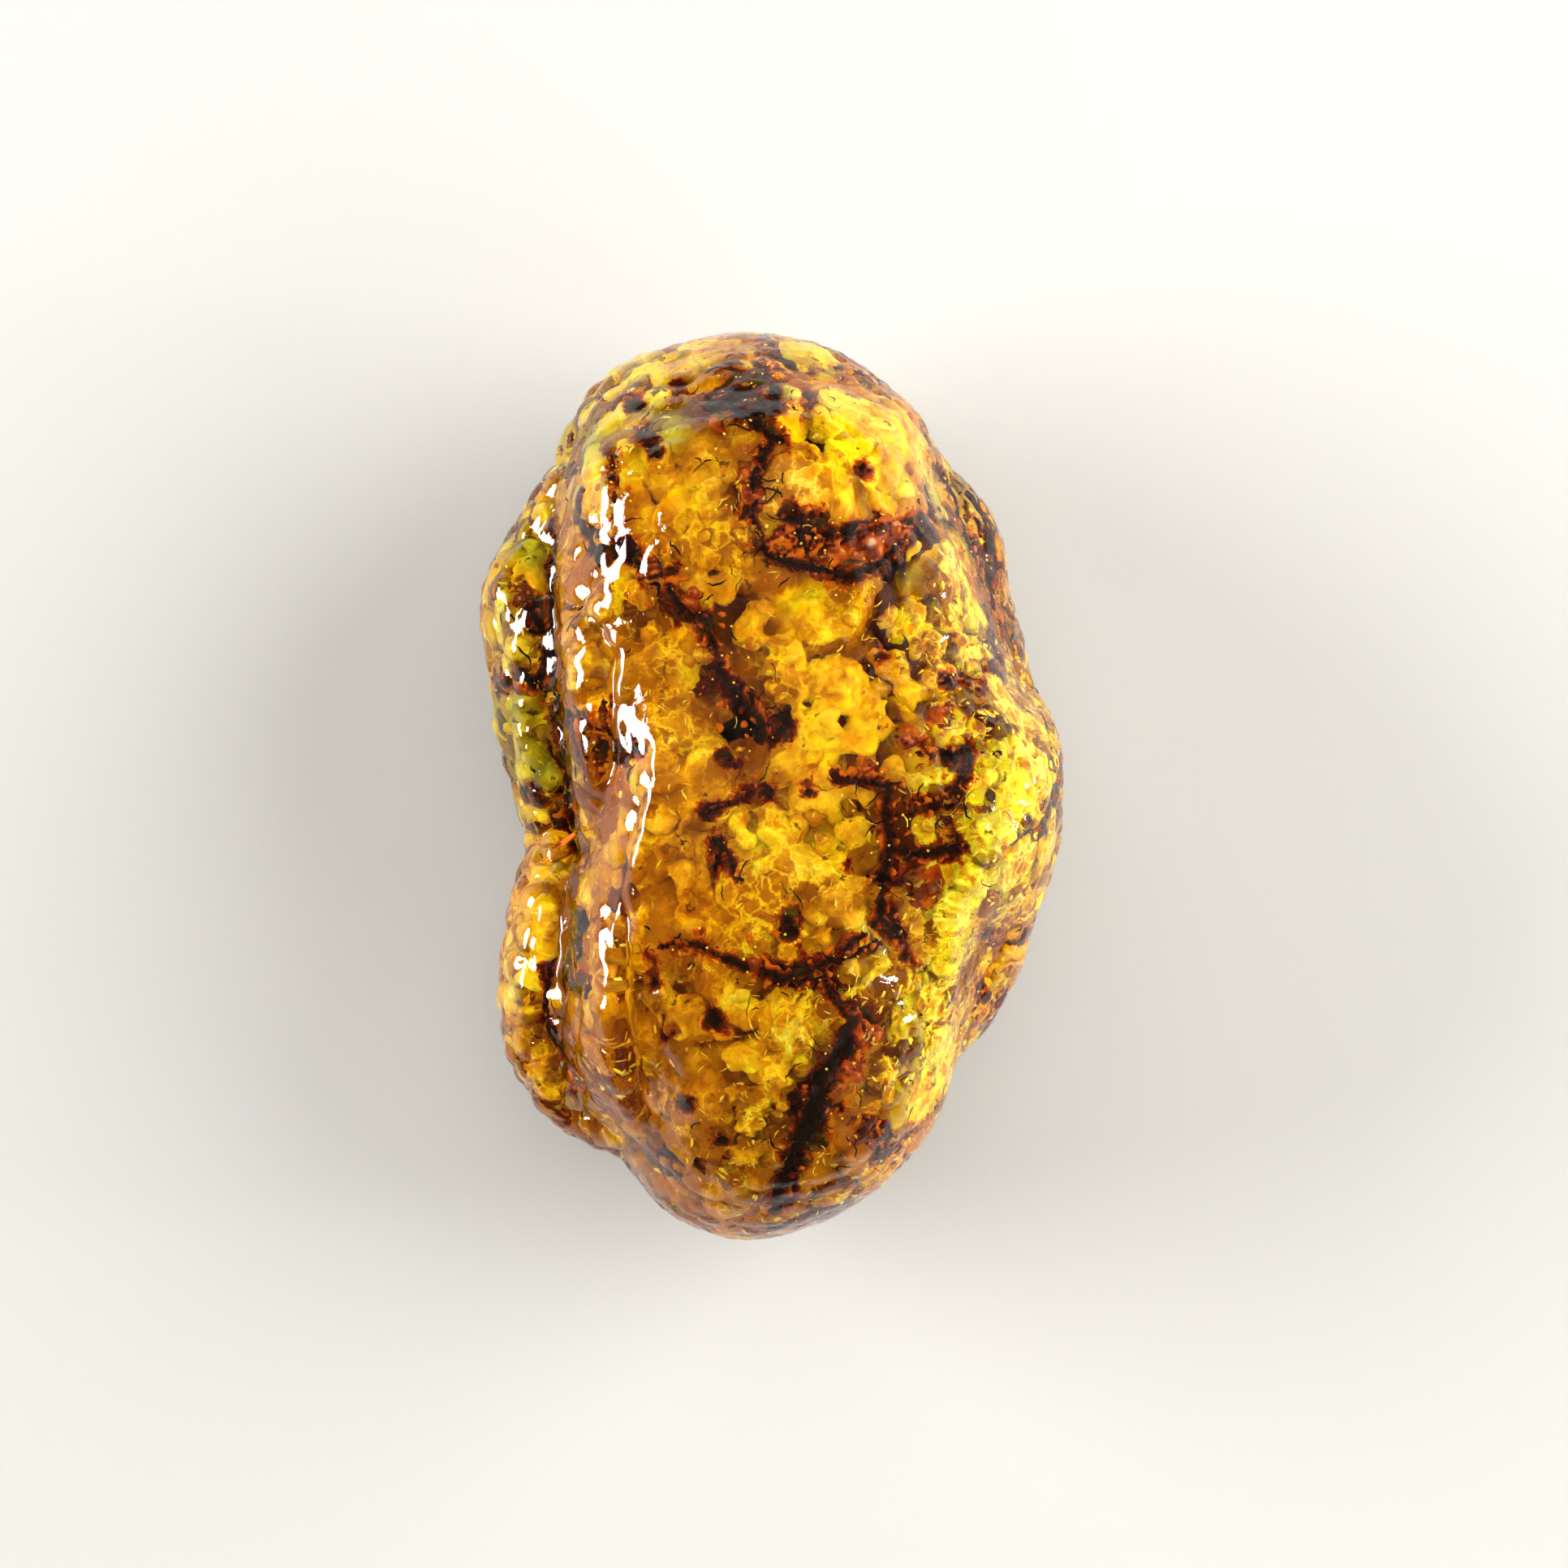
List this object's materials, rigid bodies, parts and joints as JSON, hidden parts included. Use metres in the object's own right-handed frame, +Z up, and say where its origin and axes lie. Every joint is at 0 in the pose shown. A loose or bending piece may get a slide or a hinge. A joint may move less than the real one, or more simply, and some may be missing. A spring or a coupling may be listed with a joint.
{
  "type": "rough amber nugget",
  "caption": "Rough, tumbled lump of see-through fossil resin with folded lobes, lying on its broad back; for display, close-up scenes and handling.",
  "frame": {"origin": "middle of the footprint box, on the surface the nugget lies on", "axes": "+Z up through the clear face, +Y along the length towards the broader top end, +X across to the right-hand bulge"},
  "size_m": [0.0254, 0.04, 0.0182],
  "materials": {
    "amber_resin": "wet-looking natural gloss with fine pebbling"
  },
  "bodies": {
    "root": {"amber_nugget": "amber_resin"}
  },
  "joints": []
}
